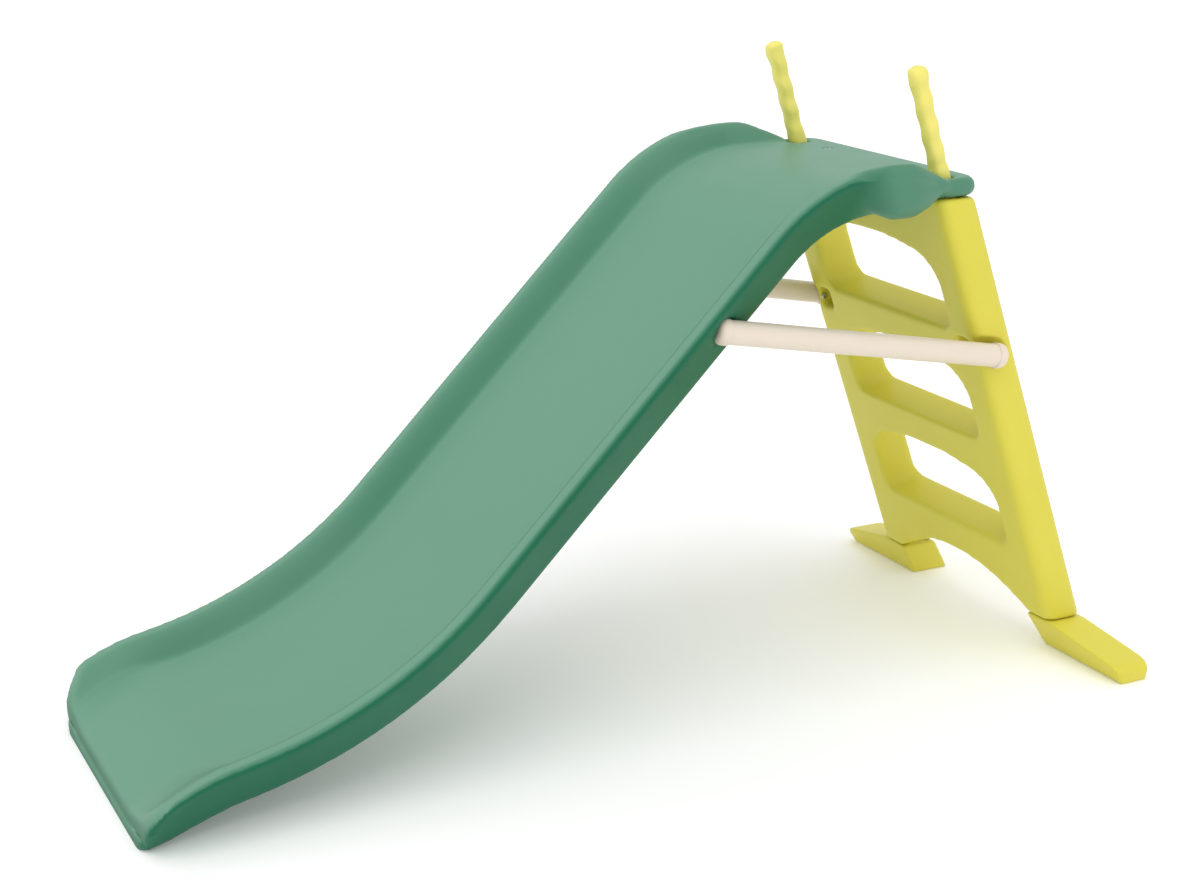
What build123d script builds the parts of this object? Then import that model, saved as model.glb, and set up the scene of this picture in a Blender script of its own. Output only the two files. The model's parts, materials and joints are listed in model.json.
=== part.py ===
from build123d import *
import os
from math import cos, radians, sin, tan

# A child's wave slide: a hollow green chute on a leaning yellow ladder, braced by two tubes.
# Millimetres, +Z up. The chute runs down towards -X, the ladder stands at +X, and the
# piece is symmetric about Y = 0. The origin is under the middle of the whole slide, on the
# floor. Left pieces are on the +Y side and right pieces on the -Y side.

# ---- driving dimensions: the chute -------------------------------------------------
deck_height = 740.0          # floor to the flat deck, which is also the top of the bed
rim_overhang = 33.0          # crest of a rim outside the ladder's outer face
wall_flare = 50.0            # crest of a rim outside the foot of its side wall
rim_top_width = 21.0         # flat top of each rim
rim_slope_run = 49.0         # top of a rim down to the edge of the flat bed
rim_height = 30.0            # rim above the bed, square to the bed
body_depth = 42.0            # bed to underside, square to the bed
chute_wall = 3.6             # moulded wall
slide_angle = 45.0           # straight middle of the slide
apron_angle = 11.3           # run-out at the bottom
lower_bend_radius = 645.0    # bed, where the slide runs out
upper_bend_radius = 240.0    # bed, where the slide leaves the deck
apron_length = 147.0         # run-out between the lower bend and the lip
lip_height = 54.0            # bed above the floor at the lip
lip_roll_radius = 96.0       # roll that takes the rims and the bed down to the floor
toe_inset = 66.0             # foot of the lip inside the crest of a rim
toe_length = 46.0
toe_overlap = 12.0           # foot of the lip runs up inside the body
section_bed_corner = 18.0
section_rim_corner = 11.0
section_edge_corner = 5.0
section_base_corner = 8.0

# ---- driving dimensions: the deck ---------------------------------------------------
deck_thickness = 28.0
deck_run = 153.0             # crest of the bed to the rear edge of the deck
rim_fade_start = 14.0        # behind the crest, where the rims start to drop
rim_fade_end = 88.0          # behind the crest, where the rims have met the deck
rim_fade_hold = 0.62         # share of a rim's height that is left half way down
rim_fade_slope = 0.75        # steepness where a rim meets the deck
shoulder_lead = 6.0          # ahead of the crest, where the chute starts to narrow
shoulder_tail = 20.0         # behind the rims, where it is as narrow as the deck
shoulder_slope = 0.2
keel_slope = 0.1             # underside where it meets the deck's
keel_clearance = 3.0         # chute's underside to the ladder's front face
deck_corner_radius = 32.0
deck_edge_radius = 12.5
handle_setback = 101.0       # crest of the bed to the handles

# ---- driving dimensions: the ladder -------------------------------------------------
ladder_width = 430.0         # over the outer faces of the rails and over the deck
ladder_lean = 20.0           # from upright, top towards the chute
ladder_thickness = 61.0
ladder_wall = 3.6
rail_width = 60.0
first_tread = 165.0          # floor to the lowest tread
top_rise = 229.0             # top tread to the deck
tread_depth = 50.0           # crown of an opening up to the next tread
step_arch_rise = 24.0
step_top_corner = 56.0
step_base_corner = 20.0
foot_arch_height = 108.0     # crown of the arch under the lowest tread
foot_arch_spread = 8.0       # arch wider than the step openings, each side
rail_edge_radius = 15.0
boot_height = 55.0           # where the rails stand on the feet

# ---- driving dimensions: handles, feet, struts and fasteners --------------------------
handle_inset = 34.0          # middle of a handle inside the rail's outer face
handle_lean = 18.0           # from upright
handle_rise = 155.0          # top of a handle above the deck
handle_width = 26.0          # along Y
handle_depth = 24.0          # along the lean's normal
handle_corner = 8.0
handle_grip_waves = 4
handle_wave_depth = 2.4
handle_grip_start = 16.0     # plain shank above the deck
handle_grip_margin = 24.0    # plain lengths at both ends of the grip, together
handle_stub = 88.0           # length of a handle below the top of its rail
socket_clearance = 0.5
slot_clearance = 3.0

foot_length = 68.0           # front to back on the floor
foot_setback = 12.0          # sole behind the ladder's front line, on the floor
foot_arm_length = 135.0      # tip of a stabiliser arm outside the rail
foot_tip_height = 25.0
foot_tip_bevel = 10.0
foot_tip_drop = 4.0
foot_arm_depth = 46.0        # tip, front to back
foot_wall = 3.6
boot_margin = 4.0            # boot wider than its rail, each side
boot_inner_slope = 10.0      # inner side of a boot runs outwards on its way down
tenon_height = 52.0
tenon_width = 38.0
tenon_depth = 36.0
tenon_corner = 4.0

tube_diameter = 33.0
tube_wall = 1.5
tube_overhang = 7.0          # axis of a tube outside the ladder's outer face
tube_fall = 10.7             # degrees, down towards the ladder
tube_front_drop = 171.0      # deck down to a tube's axis at the chute
tube_front_depth = 11.0      # axis of its front end below the bed line, square to the bed
tube_tail_margin = 34.0      # end of the rear cap to the back of the rail
cap_rim = 1.5                # cap proud of its tube, all round
cap_length = 16.0
cap_dome_radius = 9.0
cap_plug_length = 24.0
groove_clearance = 0.6
brace_pocket_inset = 21.0    # seat of a brace screw inside the rail's outer face
brace_pocket_width = 30.0
brace_pocket_height = 34.0
brace_pocket_depth = 25.0
brace_screw_reach = 5.0      # tip of a brace screw beyond the tube's axis

screw_diameter = 5.0
screw_head_diameter = 10.0
screw_head_height = 3.2
screw_slot_diameter = 3.2
screw_slot_depth = 1.4
screw_bite = 0.7             # share of a held peg that its screw goes through
screw_hole_clearance = 0.1
screw_tip_clearance = 1.0
head_recess_diameter = 15.0
head_recess_depth = 9.0
deck_screw_spacing = 194.0
deck_screw_diameter = 6.0
deck_screw_head_diameter = 12.0
deck_screw_head_height = 3.6
deck_drive_across = 5.0
deck_drive_depth = 1.8
deck_recess_diameter = 18.0
deck_recess_depth = 6.0
deck_screw_grip = 26.0       # screw below the deck
washer_thickness = 1.4
washer_diameter = 16.0
washer_clearance = 0.3
nut_across = 10.0
nut_height = 5.0
nut_gap = 6.0                # deck's underside to the nut's seat
nut_thread_clearance = 0.05

cut_margin = 60.0            # cutting shapes run this far past what they cut

# ---- derived sizes and places -----------------------------------------------------------
chute_width = ladder_width + 2 * rim_overhang
base_width = chute_width - 2 * wall_flare
bed_width = chute_width - 2 * (rim_top_width + rim_slope_run)
toe_width = chute_width - 2 * toe_inset
handle_spacing = ladder_width - 2 * handle_inset
rail_spacing = ladder_width - rail_width
foot_arm_reach = ladder_width / 2 + foot_arm_length
tread_rise = (deck_height - top_rise - first_tread) / 2
step_opening_height = tread_rise - tread_depth
cap_diameter = tube_diameter + 2 * cap_rim
slide = radians(slide_angle)
apron = radians(apron_angle)
lean = radians(ladder_lean)
grip_lean = radians(handle_lean)
upper_drop = upper_bend_radius * (1 - cos(slide))
lower_drop = lower_bend_radius * (cos(apron) - cos(slide))
apron_drop = apron_length * sin(apron)
straight_run = (deck_height - lip_height - upper_drop - lower_drop - apron_drop) / sin(slide)
crest_to_lip = (
    upper_bend_radius * sin(slide)
    + straight_run * cos(slide)
    + lower_bend_radius * (sin(slide) - sin(apron))
    + apron_length * cos(apron)
)
deck_underside = deck_height - deck_thickness
# the rail's middle passes through the handle line at the deck
ladder_front_offset = (
    handle_setback + deck_height * tan(lean) - ladder_thickness / 2 / cos(lean)
)
foot_front_offset = ladder_front_offset + foot_setback
overall_length = crest_to_lip + foot_front_offset + foot_length
lip_x = -overall_length / 2
crest_x = lip_x + crest_to_lip
ladder_front_x = crest_x + ladder_front_offset
foot_front_x = crest_x + foot_front_offset
handle_x = crest_x + handle_setback
deck_rear_x = crest_x + deck_run
ladder_rear_x = ladder_front_x + ladder_thickness / cos(lean)
tube_y = ladder_width / 2 + tube_overhang
tube_front_level = deck_height - tube_front_drop


def bed_path():
    """Centre line of the bed, from the lip up to the rear of the rims."""
    lip = Vector(lip_x, 0, lip_height)
    along = Vector(cos(apron), 0, sin(apron))
    bend_start = lip + along * apron_length
    low_centre = bend_start + Vector(-sin(apron), 0, cos(apron)) * lower_bend_radius
    mid_angle = (apron + slide) / 2
    bend_middle = low_centre + Vector(sin(mid_angle), 0, -cos(mid_angle)) * lower_bend_radius
    bend_end = low_centre + Vector(sin(slide), 0, -cos(slide)) * lower_bend_radius
    top_start = bend_end + Vector(cos(slide), 0, sin(slide)) * straight_run
    top_centre = Vector(crest_x, 0, deck_height - upper_bend_radius)
    half = slide / 2
    top_middle = top_centre + Vector(-sin(half), 0, cos(half)) * upper_bend_radius
    crest = Vector(crest_x, 0, deck_height)
    rim_end = Vector(crest_x + rim_fade_end + chute_wall, 0, deck_height)
    return Wire([
        Edge.make_line(lip, bend_start),
        Edge.make_three_point_arc(bend_start, bend_middle, bend_end),
        Edge.make_line(bend_end, top_start),
        Edge.make_three_point_arc(top_start, top_middle, crest),
        Edge.make_line(crest, rim_end),
    ])


def chute_section(inset):
    """Cross-section square to the bed; a positive inset gives the hollow inside the wall."""
    bed = bed_width / 2
    crest = chute_width / 2
    inner_crest = crest - rim_top_width
    base = base_width / 2
    half = [
        (bed, 0),
        (inner_crest, rim_height),
        (crest, rim_height),
        (base, -body_depth),
    ]
    outline = half + [(-y, n) for y, n in reversed(half)]
    face = make_face(Polyline(*outline, close=True))

    def corners(y, n):
        return face.vertices().filter_by(
            lambda v: abs(abs(v.X) - y) < 0.01 and abs(v.Y - n) < 0.01
        )

    for y, n, radius in (
        (bed, 0, section_bed_corner),
        (inner_crest, rim_height, section_rim_corner),
        (crest, rim_height, section_edge_corner),
        (base, -body_depth, section_base_corner),
    ):
        face = fillet(corners(y, n), radius)
    if inset:
        face = offset(face, -inset, kind=Kind.INTERSECTION)
    lip_plane = Plane(
        origin=(lip_x, 0, lip_height),
        x_dir=(0, 1, 0),
        z_dir=(cos(apron), 0, sin(apron)),
    )
    return lip_plane * face


def side_region(points):
    """Solid across the whole width whose side view is the given closed outline."""
    face = make_face(Polyline(*[(x, z) for x, z in points], close=True))
    return extrude(Plane.XZ * face, chute_width, both=True)


def front_cutter(inset):
    """Everything ahead of the roll that brings the lip down to the floor."""
    radius = lip_roll_radius - inset
    centre_x = lip_x + lip_roll_radius
    centre_z = lip_height + rim_height + apron_length * sin(apron) - lip_roll_radius
    block = side_region([
        (lip_x - cut_margin, -cut_margin),
        (centre_x, -cut_margin),
        (centre_x, centre_z + radius + cut_margin),
        (lip_x - cut_margin, centre_z + radius + cut_margin),
    ])
    roll = Plane.XZ * Pos(centre_x, centre_z) * Circle(radius)
    core = extrude(roll, chute_width, both=True)
    below = side_region([
        (centre_x - radius, -cut_margin),
        (centre_x, -cut_margin),
        (centre_x, centre_z),
        (centre_x - radius, centre_z),
    ])
    return block - core - below


def rim_fade_cutter(inset):
    """Space above the line down which the rims fade into the deck."""
    start = crest_x + rim_fade_start
    end = crest_x + rim_fade_end
    top = deck_height + rim_height - inset
    low = deck_height - inset
    middle = (start + end) / 2
    curve = Spline(
        (start, top),
        (middle, deck_height + rim_height * rim_fade_hold - inset),
        (end, low),
        tangents=((1, 0), (1, -rim_fade_slope)),
    )
    roof = Polyline(
        (end, low),
        (end + cut_margin, low),
        (end + cut_margin, top + cut_margin),
        (start, top + cut_margin),
        (start, top),
    )
    return extrude(Plane.XZ * make_face([curve, roof]), chute_width, both=True)


def shoulder_cutters(inset):
    """Spaces beside and below the rear of the rims, where the chute narrows to the deck."""
    start = crest_x - shoulder_lead
    end = crest_x + rim_fade_end + shoulder_tail
    wide = chute_width / 2 - inset
    narrow = ladder_width / 2 - inset
    past = chute_width / 2 + cut_margin
    plan = make_face([
        Spline((start, wide), (end, narrow), tangents=((1, 0), (1, -shoulder_slope))),
        Polyline((end, narrow), (end, past), (start, past), (start, wide)),
    ])
    low = deck_underside - body_depth - cut_margin
    left = Pos(0, 0, low) * extrude(plan, deck_height + cut_margin - low)
    right = mirror(left, Plane.XZ)
    keel = deck_height - body_depth + inset
    keel_end = ladder_front_x - deck_underside * tan(lean) - keel_clearance
    seat = deck_underside + inset
    underside = make_face([
        Spline((start, keel), (keel_end, seat), tangents=((1, 0), (1, keel_slope))),
        Polyline((keel_end, seat), (end, seat), (end, low), (start, low), (start, keel)),
    ])
    under = extrude(Plane.XZ * underside, chute_width, both=True)
    return [left, right, under]


def chute_run(inset):
    """The swept run of the chute, trimmed at the lip and at the deck."""
    run = sweep(chute_section(inset), path=bed_path())
    run = run - front_cutter(inset) - rim_fade_cutter(inset)
    for cutter in shoulder_cutters(inset):
        run = run - cutter
    return run


def toe():
    """Foot of the lip, which rests on the floor."""
    half = toe_width / 2
    flare = base_width / 2
    height = lip_height - body_depth + toe_overlap
    face = make_face(Polyline(
        (-half, 0), (half, 0), (flare, height), (-flare, height), close=True,
    ))
    front = Plane(origin=(lip_x, 0, 0), x_dir=(0, 1, 0), z_dir=(1, 0, 0))
    return extrude(front * face, toe_length) - front_cutter(0)


def deck_slab(inset):
    """The flat deck; a positive inset gives the hollow inside the wall."""
    front = crest_x
    face = make_face(Polyline(
        (front + inset, -ladder_width / 2 + inset),
        (deck_rear_x - inset, -ladder_width / 2 + inset),
        (deck_rear_x - inset, ladder_width / 2 - inset),
        (front + inset, ladder_width / 2 - inset),
        close=True,
    ))
    rear = face.vertices().group_by(Axis.X)[-1]
    face = fillet(rear, deck_corner_radius - inset)
    slab = Pos(0, 0, deck_underside + inset) * extrude(face, deck_thickness - 2 * inset)
    if not inset:
        level_edges = slab.edges().filter_by(lambda e: e.bounding_box().size.Z < 0.01)
        rim = level_edges.filter_by(lambda e: e.center().X > front + 1)
        slab = fillet(rim, deck_edge_radius)
    return slab


def lean_plane(x, y, z):
    """Plane whose local Y runs up the ladder and whose local Z points to its rear."""
    return Plane(origin=(x, y, z), x_dir=(0, 1, 0), z_dir=(cos(lean), 0, sin(lean)))


def handle_plane(side):
    """Plane square to a handle where it meets the deck; its local Z runs up the handle."""
    return Plane(
        origin=(handle_x, side * handle_spacing / 2, deck_height),
        x_dir=(0, 1, 0),
        z_dir=(-sin(grip_lean), 0, cos(grip_lean)),
    )


def handle_stub_length():
    """Length of a handle below the top of the deck."""
    return deck_thickness / cos(grip_lean) + handle_stub


def handle_space(side, grow):
    """Room for a handle's shank, from the foot of its stub to above the deck."""
    plane = handle_plane(side)
    face = RectangleRounded(handle_width + 2 * grow, handle_depth + 2 * grow, handle_corner)
    length = handle_stub_length() + socket_clearance
    return extrude(plane * face, cut_margin) + extrude(plane * face, -length)


def tube_axis(side):
    """Front point of a tube's axis and its direction towards the ladder."""
    fall = radians(tube_fall)
    bed_rise = tan(slide)
    straight_x = crest_x - upper_bend_radius * sin(slide)
    straight_z = deck_height - upper_drop
    level = tube_front_level + tube_front_depth / cos(slide)
    x = straight_x - (straight_z - level) / bed_rise
    return Vector(x, side * tube_y, tube_front_level), Vector(cos(fall), 0, -sin(fall))


def tube_exit(side):
    """Where a tube's axis meets the back of its rail, and the axis direction."""
    start, along = tube_axis(side)
    reach = (ladder_rear_x - start.X - start.Z * tan(lean)) / (along.X + along.Z * tan(lean))
    return start + along * reach, along


def tube_tail(side):
    """Rear end of a tube with its cap, inside the back of the rail."""
    point, along = tube_exit(side)
    return point - along * tube_tail_margin


def rod(start, along, radius, length):
    """Cylinder from a point along a direction."""
    return extrude(Plane(origin=start, z_dir=along) * Circle(radius), length)


def tube_groove(side, grow):
    """Space that a tube and its two caps take up, with clearance, closed at both ends."""
    start, along = tube_axis(side)
    end = tube_tail(side)
    radius = cap_diameter / 2 + groove_clearance + grow
    front = start - along * (cap_length + groove_clearance + grow)
    length = (end - front).length + groove_clearance + grow
    return rod(front, along, radius, length)


def deck_screw_point(side):
    """Top of a deck screw's seat."""
    return Vector(handle_x, side * deck_screw_spacing / 2, deck_height - deck_recess_depth)


def deck_screw_hole(side, length):
    """Hole for a deck screw's shank, from just above its seat."""
    seat = deck_screw_point(side)
    radius = deck_screw_diameter / 2 + screw_hole_clearance
    return rod(seat + Vector(0, 0, 1), Vector(0, 0, -1), radius, length)


def chute():
    """Hollow moulded chute with its deck."""
    body = chute_run(0) + toe() + deck_slab(0)
    hollow = chute_run(chute_wall) + deck_slab(chute_wall)
    for side in (1, -1):
        body = body - tube_groove(side, 0)
        hollow = hollow - tube_groove(side, chute_wall)
        body = body - handle_space(side, slot_clearance)
        hollow = hollow - handle_space(side, slot_clearance + chute_wall)
        seat = deck_screw_point(side)
        up = Vector(0, 0, 1)
        body = body - rod(seat, up, deck_recess_diameter / 2, cut_margin)
        body = body - deck_screw_hole(side, cut_margin)
        boss = deck_recess_diameter / 2 + chute_wall
        hollow = hollow - rod(seat + up * cut_margin, up * -1, boss, 2 * cut_margin)
    return body - hollow


def step_outline(level, wall):
    """Opening over a tread on the ladder's front face; a wall grows it."""
    half = ladder_width / 2 - rail_width + wall
    low = level / cos(lean) - wall
    crown = (level + step_opening_height) / cos(lean) + wall
    shoulder = crown - step_arch_rise
    face = make_face([
        ThreePointArc((-half, shoulder), (0, crown), (half, shoulder)),
        Polyline((half, shoulder), (half, low), (-half, low), (-half, shoulder)),
    ])
    top = face.vertices().filter_by(lambda v: v.Y > shoulder - 1)
    face = fillet(top, step_top_corner)
    base = face.vertices().filter_by(lambda v: v.Y < low + 1)
    return fillet(base, step_base_corner)


def foot_arch(wall):
    """Arch between the rails below the lowest tread."""
    half = ladder_width / 2 - rail_width + foot_arch_spread + wall
    spring = boot_height / cos(lean)
    crown = foot_arch_height / cos(lean) + wall
    low = -cut_margin
    return make_face([
        ThreePointArc((-half, spring), (0, crown), (half, spring)),
        Polyline((half, spring), (half, low), (-half, low), (-half, spring)),
    ])


def tread_levels():
    """Heights of the treads above the floor."""
    return [first_tread + step * tread_rise for step in range(3)]


def ladder_body(inset):
    """The leaning panel; a positive inset gives the hollow inside the wall."""
    reach = deck_height / cos(lean) + cut_margin
    width = ladder_width - 2 * inset
    panel = Pos(0, reach / 2) * Rectangle(width, reach)
    for level in tread_levels():
        panel = panel - step_outline(level, inset)
    panel = panel - foot_arch(inset)
    face = lean_plane(ladder_front_x, 0, 0) * Pos(0, 0, inset) * panel
    solid = extrude(face, ladder_thickness - 2 * inset)
    long_edges = solid.edges().filter_by(
        lambda e: abs(abs(e.center().Y) - width / 2) < 0.1 and e.length > deck_height
    )
    # the hollow's edges follow the rails', so that the wall keeps its thickness round them
    solid = fillet(long_edges, rail_edge_radius - inset)
    low = boot_height + inset
    high = deck_underside - inset
    slab = Pos(ladder_front_x, 0, (low + high) / 2) * Box(
        4 * deck_height, 2 * ladder_width, high - low
    )
    return solid & slab


def tenon(side, grow):
    """Peg of a foot inside the foot of its rail."""
    middle = ladder_front_x + ladder_thickness / 2 / cos(lean) - boot_height * tan(lean)
    plane = Plane(
        origin=(middle, side * rail_spacing / 2, boot_height),
        x_dir=(0, 1, 0),
        z_dir=(-sin(lean), 0, cos(lean)),
    )
    width = tenon_width + 2 * grow
    depth = tenon_depth + 2 * grow
    face = RectangleRounded(width, depth, tenon_corner)
    peg = extrude(plane * face, tenon_height + grow) + extrude(plane * face, -depth)
    above = Pos(middle, 0, boot_height + deck_height / 2) * Box(
        deck_height, 2 * ladder_width, deck_height
    )
    return peg & above


def rear_screw_frame(y, height):
    """Seat of a screw driven square through the back of a rail, and its direction."""
    into = Vector(-cos(lean), 0, -sin(lean))
    surface = Vector(ladder_rear_x - height * tan(lean), y, height)
    return surface + into * head_recess_depth, into


def peg_screw_length(depth):
    """Shank from its seat in a rail's back well into a peg of the given depth."""
    return (ladder_thickness - depth) / 2 - head_recess_depth + depth * screw_bite


def handle_screw_place(side):
    """Seat, direction and shank length of the screw that holds a handle."""
    seat, into = rear_screw_frame(side * handle_spacing / 2, deck_underside - handle_stub / 2)
    return seat, into, peg_screw_length(handle_depth)


def foot_screw_place(side):
    """Seat, direction and shank length of the screw that holds a foot."""
    height = boot_height + tenon_height * cos(lean) / 2 + tenon_depth * sin(lean) / 2
    seat, into = rear_screw_frame(side * rail_spacing / 2, height)
    return seat, into, peg_screw_length(tenon_depth)


def strut_screw_place(side):
    """Seat, direction and shank length of the screw from a brace pocket into a tube's end."""
    start, along = tube_axis(side)
    middle = tube_tail(side) - along * (cap_length + cap_plug_length / 2)
    inset = ladder_width / 2 - brace_pocket_inset
    seat = Vector(middle.X, side * inset, middle.Z)
    return seat, Vector(0, side, 0), tube_y - inset + brace_screw_reach


def brace_pocket(side, grow):
    """Recess in a rail's front face that gives a screwdriver's way to a brace screw."""
    seat, into, length = strut_screw_place(side)
    middle = seat - into * (brace_pocket_width / 2)
    front = ladder_front_x - middle.Z * tan(lean)
    plane = lean_plane(front, middle.Y, middle.Z)
    face = Rectangle(brace_pocket_width + 2 * grow, brace_pocket_height + 2 * grow)
    inner = extrude(plane * face, brace_pocket_depth + grow)
    return inner + extrude(plane * face, -brace_pocket_depth)


def pilot_hole(place):
    """Hole for a screw's shank in the piece that the screw holds."""
    seat, into, length = place
    radius = screw_diameter / 2 + screw_hole_clearance
    return rod(seat, into, radius, length + screw_tip_clearance)


def ladder():
    """Hollow moulded ladder."""
    body = ladder_body(0)
    hollow = ladder_body(ladder_wall)
    down = Vector(0, 0, -1)
    nut_boss = nut_across / 2 / cos(radians(30)) + ladder_wall + screw_tip_clearance
    for side in (1, -1):
        body = body - tube_groove(side, 0)
        hollow = hollow - tube_groove(side, ladder_wall)
        body = body - handle_space(side, socket_clearance)
        hollow = hollow - handle_space(side, socket_clearance + ladder_wall)
        body = body - tenon(side, socket_clearance)
        hollow = hollow - tenon(side, socket_clearance + ladder_wall)
        body = body - brace_pocket(side, 0)
        hollow = hollow - brace_pocket(side, ladder_wall)
        body = body - deck_screw_hole(side, deck_screw_depth() + screw_tip_clearance)
        body = body - nut_pocket(side, screw_hole_clearance)
        hollow = hollow - rod(deck_screw_point(side), down, nut_boss, deck_screw_depth() + ladder_wall)
        for place in (handle_screw_place(side), foot_screw_place(side)):
            seat, into, length = place
            mouth = seat - into * cut_margin
            recess = head_recess_diameter / 2
            body = body - rod(mouth, into, recess, cut_margin) - pilot_hole(place)
            hollow = hollow - rod(mouth, into, recess + ladder_wall, cut_margin + length)
        seat, into, length = strut_screw_place(side)
        body = body - pilot_hole((seat, into, length))
        hollow = hollow - rod(seat, into, screw_head_diameter / 2 + ladder_wall, length)
    return body - hollow


def deck_screw_depth():
    """Shank of a deck screw below its seat in the deck."""
    return deck_thickness - deck_recess_depth + deck_screw_grip


def nut_pocket(side, grow):
    """Six-sided seat of the nut that is moulded into the cross-member."""
    seat = deck_screw_point(side)
    level = deck_underside - nut_gap - nut_height
    hexagon = RegularPolygon(nut_across / 2 + grow, 6, major_radius=False)
    return Pos(seat.X, seat.Y, level - grow) * extrude(hexagon, nut_height + 2 * grow)


def handle(side):
    """Post with a wavy grip; its stub stands in the rail."""
    base = handle_plane(side)
    face = RectangleRounded(handle_width, handle_depth, handle_corner)
    above = handle_rise / cos(grip_lean) - handle_depth / 2 * tan(grip_lean)
    post = extrude(base * face, above) + extrude(base * face, -handle_stub_length())
    crown = post.edges().filter_by(
        lambda e: abs((e.center() - base.origin).dot(base.z_dir) - above) < 1
    )
    post = fillet(crown, handle_corner - 1)
    pitch = (above - handle_grip_margin) / handle_grip_waves
    scoop_radius = (pitch * pitch / 4 + handle_wave_depth ** 2) / (2 * handle_wave_depth)
    shift = handle_width / 2 + scoop_radius - handle_wave_depth
    for wave in range(handle_grip_waves):
        for way in (1, -1):
            along = handle_grip_start + pitch * (wave + 0.5 + way / 4)
            origin = base.origin + base.z_dir * along
            origin = origin + base.x_dir * (way * shift) - base.y_dir * handle_depth
            post = post - rod(origin, base.y_dir, scoop_radius, 2 * handle_depth)
    return post - pilot_hole(handle_screw_place(side))


def side_name(side):
    """Name of a side."""
    return "left" if side > 0 else "right"


def foot_block(side, inset):
    """Boot and arm of a foot; a positive inset gives the hollow inside the wall."""
    inner = ladder_width / 2 - rail_width + boot_margin
    outer = ladder_width / 2 + boot_margin
    tip = foot_arm_reach
    elevation = make_face(Polyline(
        (side * (inner + boot_inner_slope), 0),
        (side * inner, boot_height),
        (side * outer, boot_height),
        (side * (tip - foot_tip_bevel), foot_tip_height + foot_tip_drop),
        (side * tip, foot_tip_height - foot_tip_drop),
        (side * (tip - foot_tip_drop), 0),
        close=True,
    ))
    rear = foot_front_x + foot_length
    plan = make_face(Polyline(
        (foot_front_x - cut_margin, side * inner),
        (rear, side * inner),
        (rear, side * outer),
        (foot_front_x + foot_arm_depth, side * tip),
        (foot_front_x - cut_margin, side * tip),
        close=True,
    ))
    rise = boot_height * tan(lean)
    profile = make_face(Polyline(
        (foot_front_x, 0),
        (rear, 0),
        (ladder_rear_x - rise, boot_height),
        (ladder_front_x - rise, boot_height),
        close=True,
    ))
    if inset:
        elevation = offset(elevation, -inset, kind=Kind.INTERSECTION)
        plan = offset(plan, -inset, kind=Kind.INTERSECTION)
        profile = offset(profile, -inset, kind=Kind.INTERSECTION)
    across = Plane(origin=(foot_front_x - cut_margin, 0, 0), x_dir=(0, 1, 0), z_dir=(1, 0, 0))
    block = extrude(across * elevation, foot_length + 2 * cut_margin)
    block = block & extrude(plan, boot_height)
    return block & extrude(Plane.XZ * profile, 2 * foot_arm_reach, both=True)


def foot(side):
    """Hollow boot under a rail with a stabiliser arm that slopes down outwards."""
    block = foot_block(side, 0) - foot_block(side, foot_wall) + tenon(side, 0)
    return block - pilot_hole(foot_screw_place(side))


def strut_tube(side):
    """Plain round tube between its two caps."""
    start, along = tube_axis(side)
    end = tube_tail(side) - along * cap_length
    length = (end - start).length
    outer = rod(start, along, tube_diameter / 2, length)
    bore = rod(start, along, tube_diameter / 2 - tube_wall, length)
    return outer - bore - pilot_hole(strut_screw_place(side))


def tube_cap(side, front):
    """Domed cap with a plug that fills the tube's end."""
    start, along = tube_axis(side)
    out = along * -1 if front else along
    face_point = start if front else tube_tail(side) - along * cap_length
    dome = rod(face_point, out, cap_diameter / 2, cap_length)
    outer_end = face_point + out * cap_length
    ring = dome.edges().filter_by(
        lambda e: e.geom_type == GeomType.CIRCLE and (e.arc_center - outer_end).length < 0.5
    )
    dome = fillet(ring, cap_dome_radius)
    plug = rod(face_point, out * -1, tube_diameter / 2 - tube_wall, cap_plug_length)
    if front:
        return dome + plug
    return dome + plug - pilot_hole(strut_screw_place(side))


def rail_screw(place):
    """Pan-head screw with its head on the seat and its shank going in."""
    seat, into, length = place
    head = rod(seat, into * -1, screw_head_diameter / 2, screw_head_height)
    top = seat - into * screw_head_height
    crown = head.edges().filter_by(
        lambda e: e.geom_type == GeomType.CIRCLE and (e.arc_center - top).length < 0.3
    )
    head = fillet(crown, screw_head_height * 0.5)
    shank = rod(seat, into, screw_diameter / 2, length)
    slot = rod(top, into, screw_slot_diameter / 2, screw_slot_depth)
    return head + shank - slot


def deck_screw(side):
    """Machine screw through the deck into the ladder's cross-member."""
    seat = deck_screw_point(side) + Vector(0, 0, washer_thickness)
    up = Vector(0, 0, 1)
    head = rod(seat, up, deck_screw_head_diameter / 2, deck_screw_head_height)
    head = fillet(head.edges().group_by(Axis.Z)[-1], deck_screw_head_height / 2)
    shank = rod(seat, up * -1, deck_screw_diameter / 2, washer_thickness + deck_screw_depth())
    level = seat.Z + deck_screw_head_height - deck_drive_depth
    drive = Pos(seat.X, seat.Y, level) * extrude(
        RegularPolygon(deck_drive_across / 2, 6), deck_screw_head_height
    )
    return head + shank - drive


def deck_washer(side):
    """Flat washer in the deck's recess."""
    seat = deck_screw_point(side)
    ring = Circle(washer_diameter / 2) - Circle(deck_screw_diameter / 2 + washer_clearance)
    return Pos(seat.X, seat.Y, seat.Z) * extrude(ring, washer_thickness)


def deck_nut(side):
    """Hexagon nut held in the ladder's cross-member."""
    seat = deck_screw_point(side)
    level = deck_underside - nut_gap - nut_height
    hexagon = RegularPolygon(nut_across / 2, 6, major_radius=False)
    ring = hexagon - Circle(deck_screw_diameter / 2 + nut_thread_clearance)
    return Pos(seat.X, seat.Y, level) * extrude(ring, nut_height)


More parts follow.
